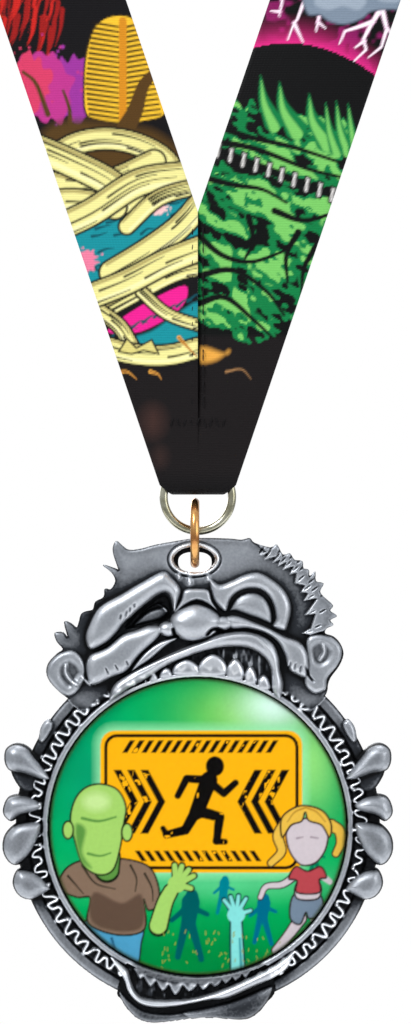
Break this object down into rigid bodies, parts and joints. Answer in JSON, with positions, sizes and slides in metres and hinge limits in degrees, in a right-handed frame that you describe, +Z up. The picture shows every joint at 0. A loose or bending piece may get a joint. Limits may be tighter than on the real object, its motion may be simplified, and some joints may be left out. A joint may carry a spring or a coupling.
{
  "type": "finisher medal on neck ribbon",
  "caption": "Cast grotesque-head finisher medal with a domed printed insert, hanging by a jump ring and a ribbon ring from a printed, mitred neck ribbon.",
  "frame": {"origin": "where the ribbon rests on the nape of the wearer's neck, at the middle of the ribbon's width", "axes": "+Z up, the wearer faces -Y, +X to the right as the medal is looked at from the front"},
  "size_m": [0.1534, 0.1098, 0.3159],
  "materials": {
    "printed_ribbon": "sublimation-printed satin polyester",
    "ribbon_end": "charcoal satin polyester",
    "thread": "black polyester thread",
    "nickel_wire": "polished, brassy nickel plate",
    "copper_wire": "polished, copper-gold plate",
    "antique_silver": "antique silver plate on cast zinc, dark in the recesses, brushed on the heights",
    "adhesive": "double-sided adhesive film",
    "printed_disc": "full-colour print",
    "clear_dome": "clear poured resin, glossy"
  },
  "bodies": {
    "neck_band": {"ribbon_neck_band": "printed_ribbon"},
    "straps": {"ribbon_strap_left": "printed_ribbon", "ribbon_strap_right": "printed_ribbon", "ribbon_pocket": "ribbon_end", "mitre_stitches": "thread", "bar_tack_stitches": "thread"},
    "ribbon_ring": {"ribbon_ring": "nickel_wire"},
    "jump_ring": {"jump_ring": "copper_wire"},
    "medal": {"medal_casting": "antique_silver", "insert_adhesive": "adhesive", "insert_disc": "printed_disc", "insert_dome": "clear_dome"}
  },
  "joints": [
    {"name": "straps_swing", "type": "hinge", "parent": "neck_band", "child": "straps", "pos_m": [0, -0.1013, -0.022], "axis": [-1, 0, 0], "range_deg": [0, 35]},
    {"name": "ring_turn", "type": "hinge", "parent": "straps", "child": "ribbon_ring", "pos_m": [0, -0.1, -0.21238], "axis": [0, -1, 0], "range_deg": [-30, 30]},
    {"name": "jump_ring_swing", "type": "hinge", "parent": "ribbon_ring", "child": "jump_ring", "pos_m": [0, -0.1, -0.21818], "axis": [-1, 0, 0], "range_deg": [-60, 60]},
    {"name": "medal_tilt", "type": "hinge", "parent": "jump_ring", "child": "medal", "pos_m": [-0.0005, -0.1, -0.22373], "axis": [0, -1, 0], "range_deg": [-12, 12]}
  ]
}
